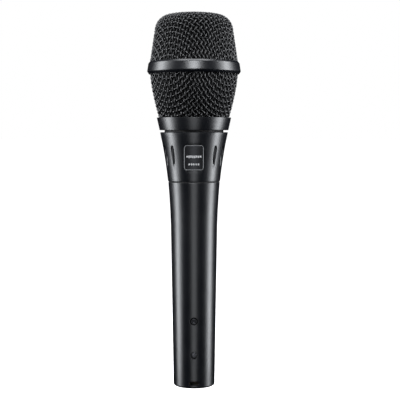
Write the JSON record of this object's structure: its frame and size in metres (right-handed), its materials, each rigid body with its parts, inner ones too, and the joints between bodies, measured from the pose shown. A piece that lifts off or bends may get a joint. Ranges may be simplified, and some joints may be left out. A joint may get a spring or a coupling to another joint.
{
  "type": "handheld microphone",
  "caption": "Handheld vocal microphone: woven wire grille with a black band, vented collar with a nameplate, long tapered handle and a round connector socket in its tail.",
  "frame": {"origin": "centre of the tail's end face, where the microphone stands", "axes": "+Z along the microphone's axis to the top of the grille, -Y towards the nameplate, +X to the right seen from the nameplate's side"},
  "size_m": [0.0496, 0.0496, 0.1993],
  "materials": {
    "handle_paint": "satin metallic paint",
    "ring_paint": "satin paint",
    "mesh_black": "satin powder coat",
    "band_black": "satin black enamel",
    "plate_metal": "satin",
    "screw_steel": "satin",
    "screw_black": "black oxide",
    "gasket_rubber": "matte",
    "connector_plastic": "matte",
    "frame_plastic": "matte",
    "contact_gold": "polished",
    "circuit_board": "solder mask",
    "can_sleeve": "gloss",
    "component_black": "matte",
    "resistor_tan": "gloss",
    "lead_red": "satin",
    "lead_blue": "satin",
    "lead_grey": "satin",
    "pellet_nylon": "satin",
    "cloth_black": "fine weave",
    "foam_black": "open-cell foam",
    "capsule_metal": "satin",
    "capsule_brass": "satin",
    "film": "metallised",
    "insulator": "satin"
  },
  "bodies": {
    "handle": {"handle": "handle_paint", "xlr_insert": "connector_plastic", "xlr_pin_1": "contact_gold", "xlr_pin_2": "contact_gold", "xlr_pin_3": "contact_gold", "board_frame": "frame_plastic", "preamp_board": "circuit_board", "board_capacitors": "can_sleeve", "board_transistors": "component_black", "board_resistors": "resistor_tan", "contact_block": "frame_plastic", "spring_contacts": "contact_gold", "connector_leads": "lead_red", "contact_leads": "lead_blue"},
    "screw_washer": {"board_screw_washer": "screw_black"},
    "board_screw": {"board_screw": "screw_black"},
    "lock_pellet": {"lock_pellet": "pellet_nylon"},
    "set_screw": {"set_screw": "screw_black"},
    "seam_washer": {"seam_washer": "gasket_rubber"},
    "collar": {"collar": "handle_paint", "nameplate": "plate_metal", "port_screen": "cloth_black", "shock_mount": "gasket_rubber", "contact_board": "circuit_board", "contact_rings": "contact_gold", "board_retainer": "screw_steel", "capsule_leads": "lead_grey"},
    "capsule": {"capsule_housing": "capsule_metal", "capsule_cap": "capsule_metal", "capsule_screen": "cloth_black", "diaphragm_ring": "capsule_brass", "diaphragm": "film", "diaphragm_spacer": "insulator", "backplate": "capsule_brass", "backplate_insulator": "insulator", "capsule_board": "circuit_board", "capsule_parts": "component_black"},
    "neck_gasket": {"neck_gasket": "gasket_rubber"},
    "grille": {"base_ring": "ring_paint", "lower_mesh": "mesh_black", "band": "band_black", "band_inner_ring": "ring_paint", "upper_mesh": "mesh_black", "lower_foam": "foam_black", "upper_foam": "foam_black"}
  },
  "joints": [
    {"name": "collar_lift", "type": "slide", "parent": "handle", "child": "seam_washer", "axis": [0, 0, 1], "range_m": [0, 0.006]},
    {"name": "collar_turn", "type": "hinge", "parent": "seam_washer", "child": "collar", "pos_m": [0, 0, 0.11], "axis": [0, 0, 1], "range_deg": [0, 2160]},
    {"name": "grille_lift", "type": "slide", "parent": "collar", "child": "neck_gasket", "axis": [0, 0, 1], "range_m": [0, 0.005]},
    {"name": "grille_turn", "type": "hinge", "parent": "neck_gasket", "child": "grille", "pos_m": [0, 0, 0.137], "axis": [0, 0, 1], "range_deg": [0, 1800]},
    {"name": "board_screw_back", "type": "slide", "parent": "handle", "child": "screw_washer", "axis": [0, -1, 0], "range_m": [0, 0.0022]},
    {"name": "board_screw_turn", "type": "hinge", "parent": "screw_washer", "child": "board_screw", "pos_m": [0, -0.0114, 0.036], "axis": [0, -1, 0], "range_deg": [0, 1980]},
    {"name": "set_screw_in", "type": "slide", "parent": "handle", "child": "lock_pellet", "axis": [0, 1, 0], "range_m": [0, 0.002]},
    {"name": "set_screw_turn", "type": "hinge", "parent": "lock_pellet", "child": "set_screw", "pos_m": [0, -0.011, 0.0178], "axis": [0, 1, 0], "range_deg": [0, 1440]},
    {"name": "capsule_float", "type": "slide", "parent": "collar", "child": "capsule", "axis": [0, 0, 1], "range_m": [-0.0008, 0.0008], "stiffness_N_per_m": 900, "deforming": ["shock_mount", "capsule_leads"]}
  ],
  "couplings": [
    {"joint": "collar_turn", "follows": "collar_lift", "rad_per_m": 6283.2},
    {"joint": "grille_turn", "follows": "grille_lift", "rad_per_m": 6283.2},
    {"joint": "board_screw_turn", "follows": "board_screw_back", "rad_per_m": 15708},
    {"joint": "set_screw_turn", "follows": "set_screw_in", "rad_per_m": 12566}
  ]
}
